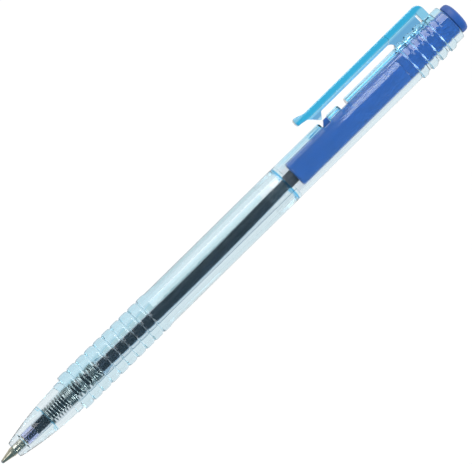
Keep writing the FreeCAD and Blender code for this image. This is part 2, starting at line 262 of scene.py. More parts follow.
@dataclass
class Surface:
    """A closed mesh in the pen's millimetres, with a wire's own map where it has one."""

    points: np.ndarray
    quads: np.ndarray
    fans: list[list[int]] = field(default_factory=list)
    corner_map: np.ndarray | None = None

    @classmethod
    def grid(cls, points: np.ndarray, close_rows: bool, close_columns: bool) -> Surface:
        """Joins a grid of points, rows by columns, with four-sided faces.

        Args:
            points: Array of rows, columns and three coordinates.
            close_rows: Whether the last row is joined to the first.
            close_columns: Whether the last column is joined to the first.

        Returns:
            The surface, closed if both are.
        """
        rows, columns = points.shape[:2]
        index = np.arange(rows * columns).reshape(rows, columns)
        if close_rows:
            index = np.concatenate((index, index[:1]), 0)
        if close_columns:
            index = np.concatenate((index, index[:, :1]), 1)
        corners = (index[:-1, :-1], index[:-1, 1:], index[1:, 1:], index[1:, :-1])
        return cls(points.reshape(-1, 3), np.stack(corners, -1).reshape(-1, 4))

    def capped(self, count: int) -> Surface:
        """The same surface, with a flat face over its first and last rows.

        Args:
            count: Number of points in a row.

        Returns:
            The surface itself, now closed.
        """
        last = len(self.points) - 1
        self.fans = [list(range(count)), list(range(last, last - count, -1))]
        return self

    @classmethod
    def turned(cls, profile: np.ndarray, steps: int = 160) -> Surface:
        """Turns a profile about the pen's axis: y is the radius times the cosine, z the sine.

        Args:
            profile: Rows of x and radius. One that starts and ends on the axis makes a solid, and
                any other is taken as a closed ring.
            steps: Number of faces round the axis.

        Returns:
            The closed surface.
        """
        angle = np.linspace(0, 2 * np.pi, steps, endpoint=False)
        solid = profile[0, 1] < 1e-6
        ring = profile[1:-1] if solid else profile
        x = np.repeat(ring[:, :1], steps, 1)
        points = np.stack((x, ring[:, 1:] * np.cos(angle), ring[:, 1:] * np.sin(angle)), -1)
        surface = cls.grid(points, not solid, True)
        if solid:
            count = len(surface.points)
            poles = np.array(((profile[0, 0], 0, 0), (profile[-1, 0], 0, 0)))
            surface.points = np.concatenate((surface.points, poles))
            rim, far = range(steps), count - steps
            for this in rim:
                after = (this + 1) % steps
                surface.fans += [[count, after, this], [count + 1, this + far, after + far]]
        return surface

    @classmethod
    def prism(cls, outline: np.ndarray, width: float, edge: float = 0.0, steps: int = 4) -> Surface:
        """A side outline given a width across the pen, with its edges rounded over.

        Going from one flank to the other, each ring is the outline moved in by edge times one less
        the sine of an angle, and stands out by edge times its cosine past the straight part.

        Args:
            outline: Rows of x and y.
            width: Whole width across the pen.
            edge: Radius of the rounded edges.
            steps: Number of chords in each rounded edge.

        Returns:
            The closed surface.
        """
        angle = np.radians(np.linspace(0, 90, steps + 1)) if edge else np.radians([90.0])
        half = width / 2 - edge
        depth = np.concatenate((edge * (1 - np.sin(angle)), edge * (1 - np.sin(angle[::-1]))))
        z = np.concatenate((-half - edge * np.cos(angle), half + edge * np.cos(angle[::-1])))
        count, places = len(outline), zip(depth, z)
        rings = [np.column_stack((inset(outline, d), np.full(count, at))) for d, at in places]
        return cls.grid(np.stack(rings), False, True).capped(count)

    @classmethod
    def wire(cls, path: np.ndarray, radius: float, sides: int = 12) -> Surface:
        """A round wire along a path, with a flat end at each end.

        The section's first direction points away from the pen's axis and its second is at right
        angles to that and to the path, so it doesn't twist along a coil.

        Args:
            path: Rows of x, y, z.
            radius: Radius of the wire.
            sides: Number of faces round it.

        Returns:
            The closed surface, with a map of length along and turn around.
        """
        way = np.gradient(path, axis=0)
        way /= np.linalg.norm(way, axis=1)[:, None]
        out = path * np.array((0, 1, 1))
        out -= np.sum(out * way, 1)[:, None] * way
        out /= np.linalg.norm(out, axis=1)[:, None]
        side = np.cross(way, out)
        angle = np.linspace(0, 2 * np.pi, sides, endpoint=False)[None, :, None]
        round_it = np.cos(angle) * out[:, None] + np.sin(angle) * side[:, None]
        surface = cls.grid(path[:, None] + radius * round_it, False, True).capped(sides)
        length = np.concatenate(([0], np.cumsum(np.linalg.norm(np.diff(path, axis=0), axis=1))))
        near, far = length[:-1], length[1:]
        u = np.stack((near, near, far, far), -1)[:, None].repeat(sides, 1)
        turn = np.arange(sides)
        v = np.stack((turn, turn + 1, turn + 1, turn), -1)[None].repeat(len(path) - 1, 0) / sides
        ends = np.zeros((2 * sides, 2))
        surface.corner_map = np.concatenate((np.stack((u, v), -1).reshape(-1, 2), ends))
        return surface

    def make(self, name: str) -> bpy.types.Object:
        """Makes the object, in the pen's millimetres and with its faces outwards.

        Args:
            name: The object's name.

        Returns:
            The new object.
        """
        mesh = bpy.data.meshes.new(name)
        mesh.from_pydata(self.points.tolist(), [], self.quads.tolist() + self.fans)
        if self.corner_map is not None:
            mesh.uv_layers.new(name="wire").data.foreach_set("uv", self.corner_map.ravel())
        work = bmesh.new()
        work.from_mesh(mesh)
        bmesh.ops.recalc_face_normals(work, faces=work.faces)
        if work.calc_volume(signed=True) < 0:
            bmesh.ops.reverse_faces(work, faces=work.faces)
        work.to_mesh(mesh)
        work.free()
        piece = bpy.data.objects.new(name, mesh)
        bpy.context.scene.collection.objects.link(piece)
        return piece


def combined(
    piece: bpy.types.Object, other: bpy.types.Object, operation: Operation
) -> bpy.types.Object:
    """Joins other to piece, or cuts it away, and removes other.

    Args:
        piece: The object that is kept.
        other: The object that is used up.
        operation: How the two are joined.

    Returns:
        The kept object.
    """
    modifier = piece.modifiers.new("combine", "BOOLEAN")
    modifier.operation = operation.value
    modifier.solver = "EXACT"
    modifier.object = other
    graph = bpy.context.evaluated_depsgraph_get()
    mesh = bpy.data.meshes.new_from_object(piece.evaluated_get(graph))
    piece.modifiers.clear()
    piece.data = mesh
    bpy.data.objects.remove(other)
    return piece


def copied(piece: bpy.types.Object) -> bpy.types.Object:
    """A second object with a mesh of its own.

    Args:
        piece: The object to copy.

    Returns:
        The second object.
    """
    twin = piece.copy()
    twin.data = piece.data.copy()
    bpy.context.scene.collection.objects.link(twin)
    return twin


def smoothed(piece: bpy.types.Object, sharp_from: float = 32.0) -> bpy.types.Object:
    """Shades a piece smooth, with a sharp edge wherever two faces turn by more than an angle.

    Args:
        piece: The object to shade.
        sharp_from: The angle in degrees.

    Returns:
        The object itself.
    """
    mesh = piece.data
    mesh.polygons.foreach_set("use_smooth", np.ones(len(mesh.polygons), bool))
    mesh.set_sharp_from_angle(angle=math.radians(sharp_from))
    return piece


# ---- shader graphs -----------------------------------------------------------


@dataclass(frozen=True)
class Value:
    """A socket of a shader graph that can be used in sums, as a number can."""

    graph: Graph
    socket: bpy.types.NodeSocket

    def __add__(self, other: Value | Number) -> Value:
        """Adds."""
        return self.graph.math("ADD", self, other)

    def __radd__(self, other: Number) -> Value:
        """Adds, with the number first."""
        return self.graph.math("ADD", other, self)

    def __sub__(self, other: Value | Number) -> Value:
        """Subtracts."""
        return self.graph.math("SUBTRACT", self, other)

    def __rsub__(self, other: Number) -> Value:
        """Subtracts from a number."""
        return self.graph.math("SUBTRACT", other, self)

    def __mul__(self, other: Value | Number) -> Value:
        """Multiplies."""
        return self.graph.math("MULTIPLY", self, other)

    def __rmul__(self, other: Number) -> Value:
        """Multiplies, with the number first."""
        return self.graph.math("MULTIPLY", other, self)

    def __truediv__(self, other: Value | Number) -> Value:
        """Divides."""
        return self.graph.math("DIVIDE", self, other)

    def __rtruediv__(self, other: Number) -> Value:
        """Divides a number."""
        return self.graph.math("DIVIDE", other, self)

    def __neg__(self) -> Value:
        """The value with its sign turned."""
        return self.graph.math("MULTIPLY", self, -1.0)

    def __abs__(self) -> Value:
        """The value without its sign."""
        return self.graph.math("ABSOLUTE", self)

    def clamped(self) -> Value:
        """The value held between 0 and 1."""
        return self.graph.math("MINIMUM", self.graph.math("MAXIMUM", self, 0.0), 1.0)

    def wrapped(self, length: Number) -> Value:
        """The value counted from 0 to length, over and over."""
        return self.graph.math("WRAP", self, length, 0.0)

    def step(self, low: Number, high: Number) -> Value:
        """Goes smoothly from 0 at low to 1 at high.

        Args:
            low: Where the value starts to rise.
            high: Where it reaches 1.

        Returns:
            The new value.
        """
        values = {"Value": self, "From Min": low, "From Max": high}
        node = self.graph.node("ShaderNodeMapRange", {"interpolation_type": "SMOOTHSTEP"}, values)
        return Value(self.graph, node.outputs[0])

    def band(self, centre: Number, half: Number, soft: Number) -> Value:
        """1 within half of centre, and smoothly 0 at a further soft."""
        return 1 - abs(self - centre).step(half, half + soft)


class Graph:
    """The node graph of one material, with the pen's coordinates in millimetres."""

    def __init__(self, name: str, axes: PenAxes) -> None:
        """Starts an empty material.

        Args:
            name: The material's name.
            axes: The pen's axes.
        """
        self.material = bpy.data.materials.new(name)
        self.material.use_nodes = True
        self.tree = self.material.node_tree
        self.tree.nodes.clear()
        self.axes = axes
        self.output = self.node("ShaderNodeOutputMaterial")
        self.place = self.node("ShaderNodeTexCoord").outputs["Object"]

    def node(
        self,
        kind: str,
        settings: dict[str, Any] | None = None,
        values: dict[str | int, Any] | None = None,
    ) -> bpy.types.Node:
        """Adds a node.

        Args:
            kind: The node's type.
            settings: Its properties, which are set first.
            values: Its inputs by name or number: a Value, a socket or a plain value.

        Returns:
            The node.
        """
        node = self.tree.nodes.new(kind)
        for key, value in (settings or {}).items():
            setattr(node, key, value)
        for key, value in (values or {}).items():
            socket = node.inputs[key]
            if isinstance(value, Value):
                value = value.socket
            if isinstance(value, bpy.types.NodeSocket):
                self.tree.links.new(value, socket)
            elif isinstance(value, tuple) and len(value) == 3 and socket.type == "RGBA":
                socket.default_value = (*value, 1.0)
            else:
                socket.default_value = value
        return node

    def math(self, operation: str, *terms: Value | Number) -> Value:
        """A Math node on two or three terms."""
        node = self.node("ShaderNodeMath", {"operation": operation}, dict(enumerate(terms)))
        return Value(self, node.outputs[0])

    def mixed(self, factor: Value | Number, low: Value | Colour, high: Value | Colour) -> Value:
        """A colour that goes from low to high as factor goes from 0 to 1."""
        node = self.node("ShaderNodeMix", {"data_type": "RGBA"}, {0: factor, 6: low, 7: high})
        return Value(self, node.outputs[2])

    def coordinate(self, axis: np.ndarray) -> Value:
        """Distance from the pen's origin along an axis, in millimetres.

        Args:
            axis: Unit vector in the row frame.

        Returns:
            The distance.
        """
        values = {0: self.place, 1: tuple(float(a) * MM for a in axis)}
        node = self.node("ShaderNodeVectorMath", {"operation": "DOT_PRODUCT"}, values)
        return Value(self, node.outputs["Value"]) - float(self.axes.origin @ axis) * MM

    def pen(self) -> tuple[Value, Value, Value]:
        """The pen's x, y and z in millimetres."""
        axes = (self.axes.along, self.axes.clipward, self.axes.across)
        return tuple(self.coordinate(axis) for axis in axes)

    def radius(self, y: Value, z: Value) -> Value:
        """Distance from the pen's axis: the root of y squared plus z squared."""
        return self.math("SQRT", y * y + z * z)

    def vector(self, x: Value | Number, y: Value | Number, z: Value | Number) -> Value:
        """Three values as one vector."""
        return Value(self, self.node("ShaderNodeCombineXYZ", {}, {0: x, 1: y, 2: z}).outputs[0])

    def noise(
        self, place: Value, scale: Number, detail: Number = 3.0, distortion: Number = 0.0
    ) -> Value:
        """Smooth noise from 0 to 1 at a place given in millimetres."""
        values = {"Vector": place, "Scale": scale, "Detail": detail, "Distortion": distortion}
        return Value(self, self.node("ShaderNodeTexNoise", {}, values).outputs[0])

    def bump(self, height: Value, strength: Number, distance: Number) -> Value:
        """A normal bent by a height; distance is in millimetres."""
        values = {"Height": height, "Strength": strength, "Distance": distance / MM}
        return Value(self, self.node("ShaderNodeBump", {}, values).outputs[0])

    def surface(self, values: dict[str, Any]) -> bpy.types.Material:
        """Ends the graph in a Principled shader with these inputs.

        Args:
            values: The shader's inputs by name.

        Returns:
            The finished material.
        """
        shader = self.node("ShaderNodeBsdfPrincipled", {}, values)
        self.tree.links.new(shader.outputs[0], self.output.inputs["Surface"])
        return self.material

    def absorbs(self, colour: Colour, density: float) -> None:
        """Fills the material with an even tint, which deepens with the way through it."""
        node = self.node("ShaderNodeVolumeAbsorption", {}, {"Color": colour, "Density": density})
        self.tree.links.new(node.outputs[0], self.output.inputs["Volume"])


# ---- finishes ----------------------------------------------------------------


@dataclass(frozen=True)
class Finish:
    """A material worked out from the pen's coordinates."""

    name: str

    def material(self, axes: PenAxes) -> bpy.types.Material:
        """Makes the material in the pen's axes."""
        graph = Graph(self.name, axes)
        return graph.surface(self.inputs(graph))

    def inputs(self, graph: Graph) -> dict[str, Any]:
        """What the Principled shader is given: each finish says this for itself."""
        raise NotImplementedError


@dataclass(frozen=True)
class ClearBarrelFinish(Finish):
    """Clear moulded plastic with a cool tint, deeper in the clip, with painted glow at its edges
    and painted shade in its wall.
    """

    name: str = "clear_tinted_plastic"
    body: Colour = (0.87, 0.885, 0.905)
    # The edge and seam colours are painted glow: a brighter, deeper cyan at edges, standing for
    # light piped along the plastic.
    edge: Colour = (0.22, 0.68, 0.93)
    seam_glow: Colour = (0.03, 0.42, 0.92)
    clip: Colour = (0.045, 0.46, 0.74)
    clip_light: Colour = (0.30, 0.64, 0.84)
    web: Colour = (0.16, 0.42, 0.68)
    # Painted shadow: a darker teal on the far wall of the bore above the refill, standing for the
    # refill's shadow seen through the barrel.
    refill_shadow: Colour = (0.52, 0.80, 0.84)
    # Painted shade: the crown colour darkens the outer wall along its top edge, and a little along
    # its bottom edge.
    crown: Colour = (0.50, 0.76, 0.90)
    # Painted shade: a darker band on the outer wall just above the refill.
    shade_band: Colour = (0.50, 0.62, 0.63)
    dye: Colour = (0.0, 0.6, 0.72)
    dye_density: float = 42.0
    deeper: float = 1.35
    frost: float = 0.4
    # Where the painted shadow over the bore lies: its radius and its place along the pen.
    shadow_bore_r: Span = (2.55, 2.7)
    shadow_bore_x: Span = (12.0, 18.0)
    # Where the painted crown shade lies across the pen, and how much of it falls at the bottom
    # edge.
    top_y: Span = (3.2, 4.0)
    bottom_y: Span = (3.9, 4.4)
    bottom_share: float = 0.25
    # pale_x and pale weaken the painted crown shade along the middle of the barrel.
    pale_x: Span = (38.0, 60.0)
    pale: float = 0.7
    # Where the painted shade band starts and ends along the pen, and how strong it is.
    shade_band_x: Span = (44.0, 50.0)
    shade_band_end: Span = (78.0, 84.0)
    shade_band_share: float = 0.8
    worn_x: Span = (60.0, 70.0)
    calm_x: Span = (110.0, 120.0)
    end: float = 138.4
    clip_foot: float = 124.4
    clip_back: float = 136.1
    column: float = 133.9
    joint_r: float = 3.62

    def rim_glow(self, x: Value, y: Value) -> Value:
        """Painted glow at the spring's seat, the mouth, the rear end and the windows' edges: the
        edge's cyan, standing for light piped along them.

        Args:
            x: Place along the pen.
            y: Place towards the clip.

        Returns:
            How much painted edge glow there is.
        """
        rim_glow = x.band(SEAT, 0.06, 0.12) + x.band(0.0, 0.06, 0.15) * 0.5
        rim_glow = rim_glow + x.band(self.end, 0.1, 0.1) * 0.7
        for window in WINDOWS:
            for at in window:
                rim_glow = rim_glow + x.band(at, 0.08, 0.35) * y.step(2.2, 2.9) * 0.9
        return rim_glow

    def ridges(self, x: Value, radius: Value) -> tuple[Value, Value]:
        """Painted glow at the front and rear of each ridge, and frost at its front.

        Args:
            x: Place along the pen.
            radius: Distance from its axis.

        Returns:
            How much painted glow and how much frost there is.
        """
        ridge = (x - RIDGE_FIRST).wrapped(RIDGE_PITCH)
        behind = RIDGE_FIRST + RIDGES * RIDGE_PITCH
        there = x.step(RIDGE_FIRST - 0.3, RIDGE_FIRST - 0.2)
        there = there * (1 - x.step(behind - 0.8, behind - 0.7)) * (1 - radius.step(5.15, 5.25))
        # Painted glow: the edge's cyan at each ridge's front and rear edges.
        tint = ridge.band(0.15, 0.05, 0.14) * 0.8
        tint = tint + ridge.band(RIDGE_LENGTH - 0.35, 0.02, 0.2) * 0.45
        return tint * there, ridge.band(0.12, 0.1, 0.06) * there * radius.step(4.4, 4.6)

    def grooves(self, x: Value, radius: Value) -> tuple[Value, Value]:
        """Painted glow and frost in the grip's grooves.

        Args:
            x: Place along the pen.
            radius: Distance from its axis.

        Returns:
            How much tint and how much frost there is.
        """
        half = RIB_PITCH / 2
        groove = (x - GRIP_START + half).wrapped(RIB_PITCH)
        last = GRIP_START + RIBS * RIB_PITCH
        there = x.step(GRIP_START, GRIP_START + 0.4) * (1 - x.step(last - 0.5, last))
        there = there * radius.step(4.2, 4.5)
        # The first value is painted glow in the grooves.
        return groove.band(half, 0.03, 0.25) * there * 0.35, groove.band(half, 0.09, 0.06) * there

    def on_clip(self, graph: Graph, x: Value, y: Value) -> Value:
        """The clip's colour: deep along the flange's middle, lighter at its edges, dull in the web.

        Args:
            graph: The material's graph.
            x: Place along the pen.
            y: Place towards the clip.

        Returns:
            The colour.
        """
        flange = graph.mixed((1 - y.band(7.55, 0.35, 0.5)).clamped(), self.clip, self.clip_light)
        in_web = (1 - y.step(6.0, 6.9)) * (1 - x.step(self.column, self.column + 0.2))
        return graph.mixed(in_web, flange, self.web)

    def in_wall(self, graph: Graph, outer: Value, edge_glow: Value) -> Value:
        """The barrel's colour: a streaky tint, with painted shadow over the bore, painted shade at
        the top and bottom edges and in a band above the refill, and painted glow at the edges.

        Args:
            graph: The material's graph.
            outer: 1 on the outside of the wall.
            edge_glow: How much painted edge glow there is.

        Returns:
            The colour.
        """
        x, y, z = graph.pen()
        radius = graph.radius(y, z)
        deep = tuple(c**self.deeper for c in self.body)
        colour = graph.mixed((self.flow(graph) * 0.5 + 0.1).clamped(), self.body, deep)
        # Painted shadow: the far bore wall above the refill is darker teal, standing for the
        # refill's shadow seen through the barrel.
        bore = (1 - radius.step(*self.shadow_bore_r)) * y.band(1.75, 0.6, 0.5)
        bore = bore * x.step(*self.shadow_bore_x) * (1 - z.step(-0.5, 0.5))
        colour = graph.mixed(bore, colour, self.refill_shadow)
        # Painted shade: the top edge of the outer wall darker, the bottom edge a little darker,
        # weaker along the barrel's middle.
        along = 1 - x.step(*self.pale_x) * self.pale + x.step(SEAM, SEAM + 4.0) * self.pale
        crown = y.step(*self.top_y) + (-y).step(*self.bottom_y) * self.bottom_share
        crown = crown * outer * along
        colour = graph.mixed(crown, colour, self.crown)
        # Painted shade: a darker band on the outer wall above the refill, from about 44 to 84 mm.
        shade_band = y.band(1.0, 0.35, 1.3) * outer
        shade_band = shade_band * x.step(*self.shade_band_x) * (1 - x.step(*self.shade_band_end))
        colour = graph.mixed(shade_band * self.shade_band_share, colour, self.shade_band)
        # Painted glow: the edge's cyan at the rims, ridges and grooves.
        colour = graph.mixed(edge_glow.clamped(), colour, self.edge)
        # Painted glow: a deeper cyan line at the seam.
        seam = x.band(SEAM, 0.2, 0.08) * radius.step(3.7, 3.9)
        return graph.mixed(seam, colour, self.seam_glow)

    def flow(self, graph: Graph) -> Value:
        """The moulding's flow: noise drawn out along the pen."""
        x, y, z = graph.pen()
        return graph.noise(graph.vector(x * 0.12, y, z), 0.55, 4.0, 0.6)

    def inputs(self, graph: Graph) -> dict[str, Any]:
        """The colour of wall and clip, frost in the grooves, wear on the grip and a faint ripple.

        Args:
            graph: The material's graph.

        Returns:
            The shader's inputs by name.
        """
        x, y, z = graph.pen()
        radius = graph.radius(y, z)
        # The first values from ridges and grooves are painted edge glow.
        ridge_glow, ridge_frost = self.ridges(x, radius)
        groove_glow, groove_frost = self.grooves(x, radius)
        foot = x.step(self.clip_foot, self.clip_foot + 0.3) * y.step(4.45, 4.7)
        foot = foot * (1 - x.step(self.clip_back, self.clip_back + 0.1))
        above = graph.math("MAXIMUM", y.step(5.0, 5.5), foot)
        outer = radius.step(4.0, 4.1) * (1 - above)
        colour = self.in_wall(graph, outer, self.rim_glow(x, y) + ridge_glow + groove_glow)
        colour = graph.mixed(above, colour, self.on_clip(graph, x, y))
        joint = x.step(SEAM - 6.0, SEAM - 5.7) * (1 - x.step(SEAM + 1.1, SEAM + 1.3))
        joint = joint * (1 - radius.step(self.joint_r, self.joint_r + 0.08))
        colour = graph.mixed(joint, colour, (1.0, 1.0, 1.0))
        scuffs = graph.noise(graph.vector(x * 0.25, y * 5.0, z * 5.0), 1.6, 6.0)
        wear = radius.step(4.6, 4.85) * scuffs.step(0.55, 0.8) * (1 - x.step(*self.worn_x))
        frost = (groove_frost + ridge_frost) * (1 - above)
        ripple = graph.noise(graph.vector(x * 0.3, y, z), 0.35, 1.0)
        ripple = ripple * (1 - x.step(*self.calm_x) * 0.8)
        graph.absorbs(self.dye, self.dye_density)
        return {
            "Base Color": colour,
            "Roughness": 0.004 + 0.012 * self.flow(graph) + 0.03 * wear + self.frost * frost,
            "IOR": 1.52,
            "Transmission Weight": 1.0,
            "Normal": graph.bump(ripple, 0.03, 0.05),
        }


@dataclass(frozen=True)
class SolidPlasticFinish(Finish):
    """Solid moulded plastic with flow marks, a parting line, fine scuffs and a matt head."""

    colour: Colour
    deep: Colour
    worn: Colour
    roughness: float = 0.07
    coat: float = 1.0
    grain: float = 0.1
    wear_from: float = 3.2
    matt_from: float = 138.6

    def inputs(self, graph: Graph) -> dict[str, Any]:
        """Flow in the colour, wear outside, and grain, scuffs and parting line in the height.

        Args:
            graph: The material's graph.

        Returns:
            The shader's inputs by name.
        """
        x, y, z = graph.pen()
        flow = graph.noise(graph.vector(x * 0.2, y, z), 0.7, 4.0, 1.2)
        scuffs = graph.noise(graph.vector(x * 0.3, y * 3.0, z * 3.0), 3.0, 7.0)
        speck = graph.noise(graph.vector(x, y, z), 9.0, 2.0)
        outside = graph.radius(y, z).step(self.wear_from, self.wear_from + 0.5)
        wear = outside * scuffs.step(0.5, 0.72)
        matt = x.step(self.matt_from, self.matt_from + 0.3)
        colour = graph.mixed((flow * 1.6 - 0.3).clamped(), self.colour, self.deep)
        height = speck * self.grain + scuffs * 0.15 + y.band(0.0, 0.015, 0.04) * 1.5
        return {
            "Base Color": graph.mixed(wear * 0.5, colour, self.worn),
            "Roughness": self.roughness + 0.05 * flow + 0.15 * wear + 0.4 * matt,
            "IOR": 1.5,
            "Coat Weight": self.coat * (1 - matt),
            "Coat Roughness": 0.04,
            "Normal": graph.bump(height, 0.05, 0.05),
        }


@dataclass(frozen=True)
class RefillTubeFinish(Finish):
    """Drawn clear tube, milky along its length, and bluer at the front round the shank."""

    name: str = "clear_refill_tube"
    tube: Colour = (0.86, 0.9, 0.94)
    front: Colour = (0.62, 0.64, 0.92)
    ears: Colour = (0.50, 0.66, 0.80)
    front_end: float = 6.5
    milk: float = 0.85

    def inputs(self, graph: Graph) -> dict[str, Any]:
        """Streaks along the tube in colour, roughness and height, and tints at the front and ears.

        Args:
            graph: The material's graph.

        Returns:
            The shader's inputs by name.
        """
        x, y, z = graph.pen()
        streaks = graph.noise(graph.vector(x * 0.05, y * 4.0, z * 4.0), 1.5, 5.0)
        milky = tuple(c * self.milk for c in self.tube)
        colour = graph.mixed((streaks * 0.8).clamped(), self.tube, milky)
        front = 1 - x.step(self.front_end - 0.1, self.front_end + 0.1)
        colour = graph.mixed(front, colour, self.front)
        colour = graph.mixed(graph.radius(y, z).step(1.52, 1.62), colour, self.ears)
        return {
            "Base Color": colour,
            "Roughness": 0.08 + 0.12 * streaks,
            "IOR": 1.49,
            "Transmission Weight": 1.0,
            "Normal": graph.bump(streaks, 0.15, 0.03),
        }


@dataclass(frozen=True)
class InkFinish(Finish):
    """Black ink, wet, with slow changes where it clings to the tube."""

    name: str = "black_ink"
    ink: Colour = (0.006, 0.008, 0.011)
    thin: Colour = (0.016, 0.02, 0.028)

    def inputs(self, graph: Graph) -> dict[str, Any]:
        """Slow noise in the colour, roughness and height.

        Args:
            graph: The material's graph.

        Returns:
            The shader's inputs by name.
        """
        x, y, z = graph.pen()
        cling = graph.noise(graph.vector(x * 0.15, y * 1.5, z * 1.5), 1.1, 5.0, 1.5)
        return {
            "Base Color": graph.mixed(cling.step(0.4, 0.75), self.ink, self.thin),
            "Roughness": 0.12 + 0.2 * cling,
            "IOR": 1.4,
            "Specular IOR Level": 0.05,
            "Normal": graph.bump(cling, 0.1, 0.02),
        }


@dataclass(frozen=True)
class TurnedMetalFinish(Finish):
    """Lathe-turned metal: fine rings, a little tarnish and an ink stain near the ball."""

    colour: Colour
    tarnish: Colour
    ring_pitch: float = 0.06
    roughness: float = 0.16
    stain: Colour = (0.03, 0.03, 0.04)
    shank: Colour = (0.05, 0.06, 0.08)
    shank_from: float = 3.35
    stain_from: float = -3.75

    def inputs(self, graph: Graph) -> dict[str, Any]:
        """Rings and streaks in the height, tarnish in the colour, and ink at the ball and shank.

        Args:
            graph: The material's graph.

        Returns:
            The shader's inputs by name.
        """
        x, y, z = graph.pen()
        rings = graph.math("SINE", x * (2 * math.pi / self.ring_pitch)) * 0.5 + 0.5
        streaks = graph.noise(graph.vector(x * 12.0, y * 0.5, z * 0.5), 1.5, 4.0)
        spots = graph.noise(graph.vector(x, y, z), 1.4, 6.0, 0.8)
        stain = (1 - x.step(self.stain_from, self.stain_from + 0.45)) * spots.step(0.35, 0.65)
        colour = graph.mixed(spots.step(0.45, 0.75), self.colour, self.tarnish)
        colour = graph.mixed(stain * 0.8, colour, self.stain)
        shank = x.step(self.shank_from, self.shank_from + 0.1)
        return {
            "Base Color": graph.mixed(shank * 0.85, colour, self.shank),
            "Metallic": 1 - 0.6 * stain,
            "Roughness": self.roughness + 0.12 * streaks + 0.1 * spots,
            "Normal": graph.bump(rings * 0.4 + streaks * 0.6, 0.06, 0.01),
        }


@dataclass(frozen=True)
class WireFinish(Finish):
    """Bright drawn wire, with streaks along its own length."""

    name: str = "spring_wire"
    colour: Colour = (0.46, 0.48, 0.45)
    dull: Colour = (0.24, 0.27, 0.25)

    def inputs(self, graph: Graph) -> dict[str, Any]:
        """Streaks from noise on the wire's own map, drawn out along the wire.

        Args:
            graph: The material's graph.

        Returns:
            The shader's inputs by name.
        """
        wire = graph.node("ShaderNodeUVMap", {"uv_map": "wire"}).outputs[0]
        parts = graph.node("ShaderNodeSeparateXYZ", {}, {0: wire})
        length, turn = Value(graph, parts.outputs[0]), Value(graph, parts.outputs[1])
        streaks = graph.noise(graph.vector(length * 0.3, turn * 14.0, 0.0), 1.6, 4.0)
        return {
            "Base Color": graph.mixed(streaks.step(0.35, 0.7), self.colour, self.dull),
            "Metallic": 1.0,
            "Roughness": 0.16 + 0.2 * streaks,
            "Normal": graph.bump(streaks, 0.2, 0.01),
        }


@dataclass(frozen=True)
class FloorFinish(Finish):
    """Plain pale studio paper, lit from behind."""

    name: str = "pale_paper"
    colour: Colour = (0.02, 0.02, 0.02)
    glow: float = 0.99
    fibre: float = 0.985

    def inputs(self, graph: Graph) -> dict[str, Any]:
        """A faint fibre in the colour, and an even glow.

        Args:
            graph: The material's graph.

        Returns:
            The shader's inputs by name.
        """
        x, y, z = graph.pen()
        fibre = graph.noise(graph.vector(x, y, z), 0.8, 5.0)
        darker = tuple(c * self.fibre for c in self.colour)
        return {
            "Base Color": graph.mixed(fibre, self.colour, darker),
            "Roughness": 0.9,
            "Emission Color": (1.0, 1.0, 1.0),
            "Emission Strength": self.glow,
        }


# ---- sub-assemblies ----------------------------------------------------------


@dataclass
class SubAssembly:
    """What every sub-assembly needs: the pen's axes and a way to hand over a finished piece."""

    axes: PenAxes

    def hand_over(
        self,
        piece: bpy.types.Object,
        material: bpy.types.Material,
        slot: Slot,
        replaces: Sequence[str],
        clear: bool = False,
    ) -> bpy.types.Object:
        """Dresses a finished piece and hides the frame's nodes that it stands for.

        Args:
            piece: The finished object.
            material: Its material.
            slot: Not used.
            replaces: The frame's nodes that it stands for.
            clear: Whether lamps shine through it.

        Returns:
            The object.
        """
        piece.data.transform(self.axes.matrix())
        piece.data.update()
        piece.data.materials.clear()
        piece.data.materials.append(material)
        piece.visible_shadow = not clear
        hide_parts(*replaces)
        LOG.info("%s: %d faces", piece.name, len(piece.data.polygons))
        return piece


